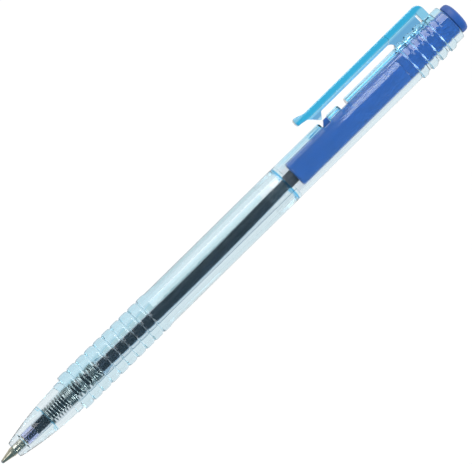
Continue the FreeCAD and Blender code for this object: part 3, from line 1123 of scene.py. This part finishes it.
@dataclass
class FrontBarrel(SubAssembly):
    """Clear front barrel: curved nose, neck, ribbed grip and plain tube, with its stepped bore."""

    mouth_r: float = 2.05
    mouth_bore: float = 1.25
    mouth_depth: float = 2.7
    nose: float = 16.2
    nose_root_r: float = 3.97
    nose_bulge: float = 0.42
    neck: float = 1.9
    neck_r: float = 4.13
    ribs: int = RIBS
    rib_pitch: float = RIB_PITCH
    grip_r: float = 4.85
    groove_depth: float = 0.27
    groove_half: float = 0.26
    barrel_r: float = BARREL_R
    end: float = SEAM
    seat: float = SEAT
    nose_bore: float = 1.7
    bore: float = 2.5
    socket_depth: float = SPIGOT
    socket_r: float = 3.58
    seam_gap: float = SEAM_GAP

    def outside(self) -> np.ndarray:
        """Profile of the outside.

        The nose is a straight line plus the bulge times four s times one less s. Along the grip the
        radius is the crest's, less a bell curve at each groove and a slight fall towards it.

        Returns:
            Rows of x and radius.
        """
        s = np.linspace(0, 1, 40)[1:]
        straight = self.mouth_r + (self.nose_root_r - self.mouth_r) * s
        nose_r = straight + self.nose_bulge * 4 * s * (1 - s)
        nose = np.column_stack((self.nose * s, nose_r))
        grip_x = self.nose + self.neck
        steps = rounded(
            ((self.nose, self.nose_root_r, 0.0), (self.nose + 0.05, self.neck_r, 0.08),
             (grip_x, self.neck_r, 0.1), (grip_x + 0.05, self.grip_r - 0.12, 0.0)), False
        )
        length = self.ribs * self.rib_pitch
        x = np.linspace(0.1, length - 0.7, self.ribs * 26)
        off = np.abs((x + self.rib_pitch / 2) % self.rib_pitch - self.rib_pitch / 2)
        inner = (x > self.rib_pitch / 2) & (x < length - self.rib_pitch / 2)
        dip = self.groove_depth * np.exp(-((off / self.groove_half) ** 2)) * inner
        crown = 0.06 * np.cos(np.pi * off / self.rib_pitch) ** 4
        grip = np.column_stack((grip_x + x, self.grip_r - dip - crown))
        end = self.end - self.seam_gap
        rest = rounded(
            ((grip_x + length, self.barrel_r, 0.3), (end - 0.3, self.barrel_r, 0.1),
             (end, self.barrel_r - 0.08, 0.04), (end, self.barrel_r - 0.3, 0.0)), False
        )
        mouth = np.array(((0.0, self.mouth_r - 0.12), (0.04, self.mouth_r - 0.03)))
        return np.concatenate((mouth, nose, steps[1:], grip, rest))

    def inside(self) -> np.ndarray:
        """Profile of the bore, from the seam back to the mouth.

        Returns:
            Rows of x and radius.
        """
        end = self.end - self.seam_gap
        return rounded(
            ((end, self.socket_r, 0.0), (self.end - self.socket_depth, self.socket_r, 0.0),
             (self.end - self.socket_depth, self.bore, 0.0), (self.seat, self.bore, 0.12),
             (self.seat, self.nose_bore, 0.1), (self.mouth_depth + 0.3, self.nose_bore, 0.15),
             (self.mouth_depth, self.mouth_bore, 0.1), (0.0, self.mouth_bore, 0.0)), False
        )

    def build(self, material: bpy.types.Material) -> None:
        """Makes the shell.

        Args:
            material: Clear plastic.
        """
        profile = np.concatenate((self.outside(), self.inside()))
        shell = smoothed(Surface.turned(profile, 192).make("front_shell"))
        self.hand_over(shell, material, Slot.BARREL, ("front_barrel",), clear=True)
        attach(shell, "barrel")


@dataclass
class Clip(SubAssembly):
    """Clip moulded with the rear barrel: a flange with a thin rib, a tooth, a web and a column.

    The bracket is joined to the barrel; the lever is a piece of its own.
    """

    width: float = 4.4
    rib_thickness: float = 1.1
    under: float = 6.1
    flange_under: float = 6.8
    top: float = 8.4
    tip: float = 96.95
    tip_top: float = 9.17
    tip_under: float = 7.2
    flare: float = 3.4
    nose: float = 0.35
    corner: float = 1.9
    back: float = 136.1
    column: float = 2.05
    slot_width: float = 0.45
    slot_top: float = 6.5
    web_round: float = 1.4
    press: float = 124.3
    lift: float = 120.8
    bend: float = 3.0
    knuckle_gap: float = 0.05
    tooth: float = 102.0
    tooth_front: float = 1.4
    tooth_back: float = 1.15
    tooth_flat: float = 0.3
    tooth_end: float = 4.66
    foot: float = 4.0
    dimple: float = 0.9
    edge: float = 0.28

    def flange(self) -> bpy.types.Object:
        """The broad strip from the tip to the column's foot; the tip curves up by a smooth step.

        Returns:
            The flange.
        """
        s = np.linspace(0, 1, 15)
        curve = smooth_step(1 - s)
        x = self.tip + self.nose + (self.flare - self.nose) * s
        upper = np.column_stack((x, self.top + (self.tip_top - self.top) * curve))
        dip = (self.tip_under - self.flange_under) * curve
        lower = np.column_stack((x, self.flange_under + dip))
        middle = (self.tip_top + self.tip_under) / 2
        half = (self.tip_top - self.tip_under) / 2
        angle = np.radians(np.linspace(90, 270, 13))[1:-1]
        nose_x = self.tip + self.nose + self.nose * np.cos(angle)
        nose = np.column_stack((nose_x, middle + half * np.sin(angle)))
        column_x = self.back - self.column
        back = ((column_x, self.flange_under), (column_x, self.foot), (self.back, self.foot))
        corner = arc((self.back - self.corner, self.top - self.corner), self.corner, 0, 90, 14)
        outline = np.concatenate((upper[::-1], nose, lower, back, corner))
        return Surface.prism(divided(outline, 0.5), self.width, self.edge).make("flange")

    def rib(self) -> bpy.types.Object:
        """The thin rib below the flange, with the tooth in front and the web and its slot behind.

        Returns:
            The rib.
        """
        column_x = self.back - self.column
        mid_flange = (self.flange_under + self.top) / 2
        front = self.tooth - self.tooth_flat / 2
        rear = self.tooth + self.tooth_flat / 2
        start = rounded(
            ((self.tip + self.flare, mid_flange, 0.0),
             (self.tip + self.flare - 0.6, self.flange_under, 0.0),
             (front - self.tooth_front, self.under + 0.1, 0.3), (front, self.tooth_end, 0.1),
             (rear, self.tooth_end, 0.1), (rear + self.tooth_back, self.under, 0.25),
             (self.press, self.under, 0.0)), False
        )
        web = arc((self.press, self.under - self.web_round), self.web_round, 90, 0, 8)[1:]
        slot = column_x - self.slot_width
        behind = column_x + 0.5
        rest = ((self.press + self.web_round, self.foot), (slot, self.foot), (slot, self.slot_top),
                (behind, self.slot_top), (behind, mid_flange))
        outline = np.concatenate((start, web, rest))
        return Surface.prism(divided(outline, 0.5), self.rib_thickness, 0.12, 3).make("rib")

    def dimpled(self, whole: bpy.types.Object) -> bpy.types.Object:
        """Sinks a small three-cornered dimple into each flank of the flared tip.

        Args:
            whole: The flange and rib in one.

        Returns:
            The same object, with its dimples.
        """
        low, high = self.tip_under + 0.35, self.tip_top - 0.35
        front, point = self.tip + 0.45, self.tip + 1.75
        corners = ((front, low, 0.15), (front, high, 0.15), (point, low + 0.25, 0.15))
        for side in (1, -1):
            dimple = Surface.prism(rounded(corners), 2 * self.dimple)
            dimple.points[:, 2] += side * self.width / 2
            whole = combined(whole, dimple.make("dimple"), Operation.CUT)
        return whole

    def knuckle(self, grow: float) -> bpy.types.Object:
        """Everything on the tip's side of the bend, with a round end.

        Args:
            grow: What is added to the round end's radius.

        Returns:
            The object, to cut or keep with.
        """
        middle, radius = (self.under + self.top) / 2, (self.top - self.under) / 2
        bulge = arc((self.press, middle), radius + grow, -90, 90, 20)
        far = np.array(((self.press, 20.0), (60.0, 20.0), (60.0, 0.0), (self.press, 0.0)))
        return Surface.prism(np.concatenate((bulge, far)), 20.0).make("knuckle")

    def halves(self) -> tuple[bpy.types.Object, bpy.types.Object]:
        """The bracket and the lever.

        Returns:
            The bracket, to be joined to the barrel, and the lever.
        """
        whole = self.dimpled(combined(self.flange(), self.rib(), Operation.UNION))
        lever = combined(copied(whole), self.knuckle(0.0), Operation.COMMON)
        bracket = combined(whole, self.knuckle(self.knuckle_gap), Operation.CUT)
        lever.name = "clip_lever"
        return bracket, lever

    def build_lever(self, lever: bpy.types.Object, material: bpy.types.Material) -> None:
        """Dresses the lever.

        Args:
            lever: The lever's object.
            material: Clear plastic.
        """
        replaces = ("clip_flexure", "clip_arm")
        self.hand_over(smoothed(lever), material, Slot.CLIP, replaces, clear=True)
        middle = (self.under + self.top) / 2
        self.axes.vector(self.lift + self.bend / 2, middle)
        self.axes.vector(self.lift - self.bend / 2, middle)
        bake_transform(lever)


@dataclass
class RearBarrel(SubAssembly):
    """Clear rear barrel: spigot, latch windows, ridges and the clip's bracket, all one moulding."""

    start: float = SEAM
    barrel_r: float = BARREL_R
    end: float = 138.5
    spigot: float = SPIGOT
    spigot_r: float = 3.59
    spigot_bore: float = 2.5
    contact: float = 0.01
    floor: float = 1.0
    bore: float = 3.42
    ridges: int = RIDGES
    ridge_first: float = RIDGE_FIRST
    ridge_pitch: float = RIDGE_PITCH
    ridge_length: float = RIDGE_LENGTH
    ridge_r: float = 5.1
    windows: tuple[Span, ...] = WINDOWS
    window_floor: float = 2.737
    window_round: float = 0.45
    seam_gap: float = SEAM_GAP

    def profile(self) -> np.ndarray:
        """Closed profile of the plain barrel with its ridges, before the windows are cut.

        Returns:
            Rows of x and radius.
        """
        start = self.start + self.seam_gap
        corners = [
            (self.start - self.spigot - self.contact, self.spigot_bore, 0.0),
            (self.start - self.spigot - self.contact, self.spigot_r, 0.0),
            (start, self.spigot_r, 0.05), (start, self.barrel_r - 0.08, 0.04),
            (start + 0.3, self.barrel_r, 0.1),
        ]
        for n in range(self.ridges):
            x = self.ridge_first + n * self.ridge_pitch
            corners += [
                (x, self.barrel_r, 0.1), (x + 0.25, self.ridge_r, 0.16),
                (x + self.ridge_length - 0.65, self.ridge_r, 0.25),
                (x + self.ridge_length, self.barrel_r, 0.2),
            ]
        corners += [
            (self.end, self.barrel_r, 0.4), (self.end, self.bore, 0.12),
            (self.start + self.floor, self.bore, 0.03),
            (self.start + self.floor, self.spigot_bore, 0.03),
        ]
        return rounded(corners, True, 5)

    def window(self, low: float, high: float) -> bpy.types.Object:
        """Cutter for one window, flared at the outside so that the window's edges come out round.

        Args:
            low: The window's front.
            high: The window's rear.

        Returns:
            The cutter.
        """
        top, r = self.barrel_r, self.window_round
        outline = np.concatenate((
            np.array(((low, self.window_floor), (high, self.window_floor))),
            arc((high + r, top - r), r, 180, 90),
            np.array(((high + r, top + 1), (low - r, top + 1))),
            arc((low - r, top - r), r, 90, 0),
        ))
        return Surface.prism(outline, 4 * self.barrel_r).make("window")

    def build(self, bracket: bpy.types.Object, material: bpy.types.Material) -> None:
        """Makes the shell and joins the clip's bracket to it.

        Args:
            bracket: The clip's bracket, which is used up.
            material: Clear plastic.
        """
        shell = Surface.turned(self.profile(), 192).make("rear_shell")
        for low, high in self.windows:
            shell = combined(shell, self.window(low, high), Operation.CUT)
        shell = combined(shell, bracket, Operation.UNION)
        replaces = ("rear_barrel", "clip_bracket")
        self.hand_over(smoothed(shell), material, Slot.BARREL, replaces, clear=True)
        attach(shell, "barrel")


@dataclass
class Plunger(SubAssembly):
    """Long push button in two parts, with the latch tongue cut from its wall."""

    radius: float = 3.28
    wall: float = 0.83
    start: float = 88.56
    split: float = 123.2
    split_gap: float = 0.02
    round_end: float = 0.7
    socket_r: float = 1.7
    socket_end: float = 92.96
    bore_start: float = 93.96
    vent_r: float = 0.5
    stem: float = 4.5
    stem_fit: float = 0.02
    head_x: float = 138.8
    head_r: float = 3.8
    head_length: float = 2.25
    rim: float = 1.05
    dome: float = 0.28
    tongue_root: float = 94.16
    tongue_half: float = 1.3
    tongue_slot: float = 0.25
    slot_floor: float = 1.9
    slot_top: float = 9.0
    hook_foot: float = 100.95
    hook_top_from: float = 102.1
    hook_face: float = 103.1
    hook_top: float = 4.38
    slot_end: float = 104.8

    def tube(self) -> bpy.types.Object:
        """The plunger tube, with a slot round the tongue.

        Returns:
            The tube.
        """
        bore, split = self.radius - self.wall, self.split - self.split_gap
        profile = rounded(
            ((self.start, self.socket_r, 0.12), (self.start, self.radius, self.round_end),
             (split, self.radius, 0.08), (split, bore, 0.0), (self.bore_start, bore, 0.1),
             (self.bore_start, self.vent_r, 0.1), (self.socket_end, self.vent_r, 0.0),
             (self.socket_end, self.socket_r, 0.1)), True, 6
        )
        tube = Surface.turned(profile, 160).make("plunger_sleeve")
        half = self.tongue_half + self.tongue_slot
        outline = np.array((
            (self.tongue_root, self.slot_floor), (self.slot_end, self.slot_floor),
            (self.slot_end, self.slot_top), (self.tongue_root, self.slot_top),
        ))
        return combined(tube, Surface.prism(outline, 2 * half).make("slot"), Operation.CUT)

    def tongue(self) -> bpy.types.Object:
        """The tongue and its hook.

        Across the pen the underside follows the bore's circle. The top is the higher of the
        plunger's circle and the hook's outline along x, which is a ramp, a flat and an upright
        face. The section at each x is a closed loop of the two.

        Returns:
            The tongue.
        """
        plain = np.linspace(self.tongue_root, self.hook_foot, 30)
        ramp = np.linspace(self.hook_foot, self.hook_top_from, 12)[1:]
        flat = np.linspace(self.hook_top_from, self.hook_face, 8)[1:]
        x = np.concatenate((plain, ramp, flat))
        knots = (self.tongue_root, self.hook_foot, self.hook_top_from, self.hook_face)
        hook = np.interp(x, knots, (0.0, self.radius - 0.2, self.hook_top, self.hook_top))
        z = self.tongue_half * np.sin(np.linspace(-np.pi / 2, np.pi / 2, 15))
        bottom = np.sqrt((self.radius - self.wall) ** 2 - z**2)
        arch = np.sqrt(self.radius**2 - z**2)
        top = np.maximum(arch[None, :], (hook[:, None] - 0.12 * (z / self.tongue_half) ** 6))
        loop_z = np.concatenate((z, z[::-1]))
        loop_y = np.concatenate((np.broadcast_to(bottom, top.shape), top[:, ::-1]), 1)
        loop_x = np.repeat(x[:, None], len(loop_z), 1)
        grid = np.stack((loop_x, loop_y, np.broadcast_to(loop_z, loop_y.shape)), -1)
        return Surface.grid(grid, False, True).capped(len(loop_z)).make("tongue_and_hook")

    def button(self) -> bpy.types.Object:
        """The push button, with a slight dome on top that ends in the rim's rounding.

        Returns:
            The button.
        """
        top = self.head_x + self.head_length
        stem_r, split = self.radius - self.wall - self.stem_fit, self.split + self.split_gap
        rim_x = top - self.dome - self.rim
        edge = arc((rim_x, self.head_r - self.rim), self.rim, 90, 8, 12)
        turn = np.linspace(0, np.pi / 2, 14)[1:]
        dome_x = edge[-1, 0] + (top - edge[-1, 0]) * np.sin(turn)
        dome = np.column_stack((dome_x, edge[-1, 1] * np.cos(turn)))
        dome[-1, 1] = 0.0
        inner = rounded(
            ((self.split - self.stem, 0.0, 0.0), (self.split - self.stem, stem_r, 0.25),
             (split, stem_r, 0.0), (split, self.radius, 0.08), (self.head_x, self.radius, 0.12),
             (self.head_x, self.head_r, 0.25), (rim_x, self.head_r, 0.0)), False
        )
        return Surface.turned(np.concatenate((inner, edge[1:], dome)), 160).make("thumb_button")

    def build(self, material: bpy.types.Material) -> None:
        """Makes the three pieces.

        Args:
            material: Blue plastic.
        """
        sleeve = self.hand_over(smoothed(self.tube()), material, Slot.BUTTON, ("plunger_tube",))
        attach(sleeve, "plunger")
        button = self.hand_over(smoothed(self.button()), material, Slot.BUTTON, ("push_button",))
        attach(button, "plunger")
        tongue = smoothed(self.tongue(), 40)
        self.hand_over(tongue, material, Slot.BUTTON, ("latch_tongue",))
        middle = self.radius - self.wall / 2
        self.axes.vector(self.tongue_root - 0.5, middle)
        self.axes.vector(self.tongue_root + 1.5, middle)
        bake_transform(tongue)


@dataclass
class Refill(SubAssembly):
    """Ink tube with its spring ears, the ink, the end collar, the metal point and its ball."""

    tube_r: float = 1.5
    tube_bore: float = 0.85
    tube_front: float = 3.4
    tube_end: float = 92.96
    shank_end: float = 6.5
    ink_end: float = 90.46
    ink_sink: float = 0.02
    ear_x: float = 25.75
    ear_length: float = 3.5
    ear_r: float = 2.15
    ear_thickness: float = 1.1
    ear_root: float = 1.0
    collar_x: float = 85.96
    collar_r: float = 1.65
    ball_x: float = -3.73
    ball_r: float = 0.35
    lip_r: float = 0.43
    lip_back: float = 0.12
    cone: float = 2.95
    point_r: float = 1.08
    ring_x: float = 1.35
    bow: float = 0.62
    bow_from: float = 20.0
    bow_to: float = 88.0

    def bowed(self, piece: bpy.types.Object) -> bpy.types.Object:
        """Bends a piece away from the clip, by the bow times the sine of half a turn.

        Args:
            piece: The object to bend.

        Returns:
            The object itself.
        """
        vertices = piece.data.vertices
        points = np.empty(len(vertices) * 3)
        vertices.foreach_get("co", points)
        points = points.reshape(-1, 3)
        share = np.clip((points[:, 0] - self.bow_from) / (self.bow_to - self.bow_from), 0, 1)
        points[:, 1] -= self.bow * np.sin(np.pi * share)
        vertices.foreach_set("co", points.ravel())
        return piece

    def tube(self) -> bpy.types.Object:
        """The tube and its two ears, joined.

        Returns:
            The tube.
        """
        profile = rounded(
            ((self.tube_front, self.tube_bore, 0.05), (self.tube_front, self.tube_r, 0.12),
             (self.tube_end, self.tube_r, 0.08), (self.tube_end, self.tube_bore, 0.05)), True
        )
        tube = Surface.turned(divided(profile, 2.0), 96).make("ink_tube")
        for side in (1, -1):
            corners = (
                (self.ear_x, side * self.ear_root, 0.0), (self.ear_x, side * self.ear_r, 0.15),
                (self.ear_x + self.ear_length * 0.4, side * self.ear_r, 0.5),
                (self.ear_x + self.ear_length, side * self.tube_r * 0.9, 0.0),
                (self.ear_x + self.ear_length, side * self.ear_root, 0.0),
            )
            ear = Surface.prism(rounded(corners), self.ear_thickness, 0.08, 3).make("ear")
            tube = combined(tube, ear, Operation.UNION)
        return self.bowed(tube)

    def ink(self) -> bpy.types.Object:
        """The ink, a little wider than the bore to wet the tube, with its end hollow like a bowl.

        Returns:
            The ink.
        """
        radius = self.tube_bore + self.ink_sink
        s = np.linspace(0, 1, 10)[1:]
        bowl_x = self.ink_end - 0.5 * np.sqrt(1 - (1 - s) ** 2 * 0.999)
        bowl = np.column_stack((bowl_x, radius * (1 - s)))
        bowl[-1, 1] = 0.0
        x = np.linspace(self.shank_end + 0.02, self.ink_end, 48)
        sides = np.column_stack((x, np.full_like(x, radius)))
        profile = np.concatenate((((x[0], 0.0),), sides, bowl))
        return self.bowed(Surface.turned(profile, 72).make("ink_thread"))

    def collar(self) -> bpy.types.Object:
        """The collar pressed on the tube's end.

        Returns:
            The collar.
        """
        profile = rounded(
            ((self.collar_x, self.tube_r + 0.01, 0.03), (self.collar_x, self.collar_r, 0.1),
             (self.tube_end, self.collar_r, 0.08), (self.tube_end, self.tube_r + 0.01, 0.03)), True
        )
        return self.bowed(Surface.turned(divided(profile, 1.0), 96).make("end_collar"))

    def point(self) -> bpy.types.Object:
        """The point: a hollow lip round the ball, a cone, a fine ring and the shank in the tube.

        Returns:
            The point.
        """
        lip_x = self.ball_x - self.lip_back
        cone_end = lip_x + self.cone
        seat = arc((self.ball_x, 0.0), self.ball_r + 0.012, 0, 108, 12)
        front, shank_r = self.tube_front - 0.02, self.tube_bore - 0.01
        groove_r = self.point_r - 0.07
        outer = rounded(
            ((lip_x, self.lip_r, 0.02), (lip_x + 0.45, self.lip_r + 0.05, 0.1),
             (cone_end, self.point_r - 0.08, 0.25), (cone_end + 0.05, self.point_r, 0.05),
             (self.ring_x - 0.2, self.point_r, 0.05), (self.ring_x - 0.1, groove_r, 0.04),
             (self.ring_x + 0.1, groove_r, 0.04), (self.ring_x + 0.2, self.point_r, 0.05),
             (front, self.point_r, 0.05), (front, shank_r, 0.0), (self.shank_end, shank_r, 0.1),
             (self.shank_end, 0.0, 0.0)), False
        )
        return Surface.turned(np.concatenate((seat, outer)), 96).make("point_body")

    def ball(self) -> bpy.types.Object:
        """The ball: x and radius are the cosine and sine of one angle.

        Returns:
            The ball.
        """
        profile = arc((self.ball_x, 0.0), self.ball_r, 180, 0, 24)
        profile[[0, -1], 1] = 0.0
        return Surface.turned(profile, 48).make("point_ball")

    def build(self, finishes: Finishes) -> None:
        """Makes the five pieces.

        Args:
            finishes: All the pen's materials.
        """
        pieces = (
            (self.tube(), finishes.tube, Slot.REFILL, "refill_tube"),
            (self.ink(), finishes.ink, Slot.INK, "ink_column"),
            (self.collar(), finishes.collar, Slot.COLLAR, "refill_collar"),
            (self.point(), finishes.point, Slot.POINT, "tip_body"),
        )
        for piece, material, slot, node in pieces:
            clear = slot is Slot.REFILL
            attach(self.hand_over(smoothed(piece), material, slot, (node,), clear), "refill")
        ball = self.hand_over(smoothed(self.ball()), finishes.ball, Slot.BALL, ("writing_ball",))
        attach(ball, "ball")


@dataclass
class ReturnSpring(SubAssembly):
    """Compression spring with closed turns at its ends and in its middle."""

    start: float = 10.34
    end: float = 25.71
    wire_r: float = 0.185
    outside_r: float = 2.25
    turns: tuple[Span, ...] = (
        (1.5, 0.375), (6.5, 0.78), (6.5, 0.38), (6.0, 0.86), (5.0, 0.38)
    )
    steps_per_turn: int = 40

    def path(self) -> np.ndarray:
        """The wire's centre line.

        The pitch is that of each group of turns, eased into the next over half a turn. x is the
        running sum of the pitch over the turns, stretched to the spring's length, and y and z go
        round a circle.

        Returns:
            Rows of x, y, z.
        """
        count = sum(turns for turns, _ in self.turns)
        turn = np.linspace(0, count, int(count * self.steps_per_turn) + 1)
        pitch = np.full_like(turn, self.turns[0][1])
        at = 0.0
        for (turns, low), (_, high) in zip(self.turns, self.turns[1:]):
            at += turns
            pitch += (high - low) * smooth_step((turn - at + 0.25) / 0.5)
        x = np.concatenate(([0], np.cumsum((pitch[1:] + pitch[:-1]) / 2 * np.diff(turn))))
        first, last = self.start + self.wire_r, self.end - self.wire_r
        x = first + x * (last - first) / x[-1]
        radius = self.outside_r - self.wire_r
        angle = 2 * np.pi * turn
        return np.column_stack((x, radius * np.cos(angle), radius * np.sin(angle)))

    def build(self, material: bpy.types.Material) -> None:
        """Makes and dresses the spring.

        Args:
            material: Spring wire.
        """
        wire = smoothed(Surface.wire(self.path(), self.wire_r).make("coil_spring"), 50)
        self.hand_over(wire, material, Slot.SPRING, ("return_spring",))
        start, end = self.axes.vector(self.start, 0.0), self.axes.vector(self.end, 0.0)
        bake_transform(wire)
        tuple(start)
        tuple(end)


@dataclass
class Finishes:
    """All the pen's materials."""

    axes: PenAxes
    clear: bpy.types.Material = field(init=False)
    blue: bpy.types.Material = field(init=False)
    collar: bpy.types.Material = field(init=False)
    tube: bpy.types.Material = field(init=False)
    ink: bpy.types.Material = field(init=False)
    point: bpy.types.Material = field(init=False)
    ball: bpy.types.Material = field(init=False)
    wire: bpy.types.Material = field(init=False)

    def __post_init__(self) -> None:
        """Makes each material once."""
        blue = SolidPlasticFinish(
            "blue_plastic", (0.013, 0.063, 0.25), (0.009, 0.053, 0.21), (0.03, 0.09, 0.30)
        )
        black = SolidPlasticFinish(
            "black_plastic", (0.014, 0.015, 0.02), (0.008, 0.008, 0.012), (0.04, 0.04, 0.05),
            roughness=0.38, coat=0.1, grain=0.4, wear_from=1.6,
        )
        point = TurnedMetalFinish("nickel_silver", (0.42, 0.39, 0.30), (0.20, 0.19, 0.13))
        ball = TurnedMetalFinish(
            "ground_carbide", (0.60, 0.60, 0.63), (0.40, 0.41, 0.44),
            ring_pitch=0.02, roughness=0.12,
        )
        self.clear = ClearBarrelFinish().material(self.axes)
        self.blue = blue.material(self.axes)
        self.collar = black.material(self.axes)
        self.tube = RefillTubeFinish().material(self.axes)
        self.ink = InkFinish().material(self.axes)
        self.point = point.material(self.axes)
        self.ball = ball.material(self.axes)
        self.wire = WireFinish().material(self.axes)


# ---- studio ------------------------------------------------------------------


@dataclass(frozen=True)
class SoftLight:
    """A soft light beside the pen.

    x is its place along the pen in millimetres from the barrel's mouth. The angle is in degrees
    round the pen's axis, from the camera's side towards the clip. Its width is in metres and its
    power in watts. Without glints, shiny surfaces don't mirror it.
    """

    name: str
    x: float
    angle: float
    width: float
    power: float
    tint: Colour = (1.0, 1.0, 1.0)
    glints: bool = True


@dataclass
class Studio:
    """Floor, soft lights and camera."""

    axes: PenAxes
    target_x: float = 70.33
    target_y: float = 0.07
    view_width: float = 106.61
    distance: float = 3000.0
    tilt: float = 5.0
    rise: float = 44.5
    sensor: float = 36.0
    floor_size: float = 3.0
    lights: tuple[SoftLight, ...] = (
        SoftLight("key", 388.0, 50.0, 0.42, 3.3, (1.0, 0.985, 1.0)),
        SoftLight("fill", 480.0, -50.0, 0.4, 5.5, glints=False),
        SoftLight("front", -330.0, 30.0, 0.3, 1.2, (1.0, 0.97, 0.98)),
    )
    light_length: float = 0.5
    light_distance: float = 0.5
    sky: Colour = (0.45, 0.76, 0.97)
    sky_strength: float = 0.45
    glass_bounces: int = 24

    def floor(self) -> None:
        """Lays a plain pale sheet under the pen."""
        half = self.floor_size / 2
        mesh = bpy.data.meshes.new("floor")
        corners = [(-half, -half, 0), (half, -half, 0), (half, half, 0), (-half, half, 0)]
        mesh.from_pydata(corners, [], [(0, 1, 2, 3)])
        sheet = bpy.data.objects.new("floor", mesh)
        sheet.data.materials.append(FloorFinish().material(self.axes))
        bpy.context.scene.collection.objects.link(sheet)

    def hang(self, light: SoftLight) -> None:
        """Hangs a soft light so that it faces the pen's axis.

        Args:
            light: Its place, size, power and colour.
        """
        lamp = bpy.data.lights.new(light.name, "AREA")
        lamp.shape = "RECTANGLE"
        lamp.size, lamp.size_y = self.light_length, light.width
        lamp.energy, lamp.color = light.power, light.tint
        holder = bpy.data.objects.new(light.name, lamp)
        holder.visible_glossy = light.glints
        a = math.radians(light.angle)
        way = self.axes.across * math.cos(a) + self.axes.clipward * math.sin(a)
        middle = np.array(self.axes.vector(light.x, 0.0))
        turn = Matrix((self.axes.along, np.cross(way, self.axes.along), way)).transposed().to_4x4()
        holder.matrix_world = Matrix.Translation(Vector(middle + way * self.light_distance)) @ turn
        bpy.context.scene.collection.objects.link(holder)

    def camera(self) -> None:
        """Sets the camera square to the pen's side, tilted a little towards the point."""
        t, rise = math.radians(self.tilt), math.radians(self.rise)
        along, across = self.axes.along, self.axes.across
        back = math.cos(t) * across - math.sin(t) * along
        level = math.cos(t) * along + math.sin(t) * across
        right = math.cos(rise) * level - math.sin(rise) * self.axes.clipward
        up = np.cross(back, right)
        lens = bpy.data.cameras.new("camera")
        lens.sensor_width = self.sensor
        lens.lens = self.sensor * self.distance / self.view_width
        lens.clip_end = 20.0
        holder = bpy.data.objects.new("camera", lens)
        target = np.array(self.axes.vector(self.target_x, self.target_y))
        turn = Matrix((right, up, back)).transposed().to_4x4()
        place = Vector(target + back * self.distance / MM)
        holder.matrix_world = Matrix.Translation(place) @ turn
        bpy.context.scene.collection.objects.link(holder)
        bpy.context.scene.camera = holder

    def build(self) -> None:
        """Sets everything up."""
        scene = bpy.context.scene
        scene.view_settings.view_transform = "Standard"
        scene.cycles.max_bounces = self.glass_bounces
        scene.cycles.transmission_bounces = self.glass_bounces
        world = bpy.data.worlds.new("studio")
        world.use_nodes = True
        background = world.node_tree.nodes["Background"]
        background.inputs["Color"].default_value = (*self.sky, 1.0)
        background.inputs["Strength"].default_value = self.sky_strength
        scene.world = world
        self.floor()
        for light in self.lights:
            self.hang(light)
        self.camera()


def main() -> None:
    """Builds the pen's looks around the frame."""
    logging.basicConfig(level=logging.INFO, format="%(name)s: %(message)s")
    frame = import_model()
    axes = PenAxes.from_frame(frame)
    Studio(axes).build()
    finishes = Finishes(axes)
    FrontBarrel(axes).build(finishes.clear)
    clip = Clip(axes)
    bracket, lever = clip.halves()
    RearBarrel(axes).build(bracket, finishes.clear)
    clip.build_lever(lever, finishes.clear)
    Plunger(axes).build(finishes.blue)
    Refill(axes).build(finishes)
    ReturnSpring(axes).build(finishes.wire)


if __name__ == "__main__":
    main()
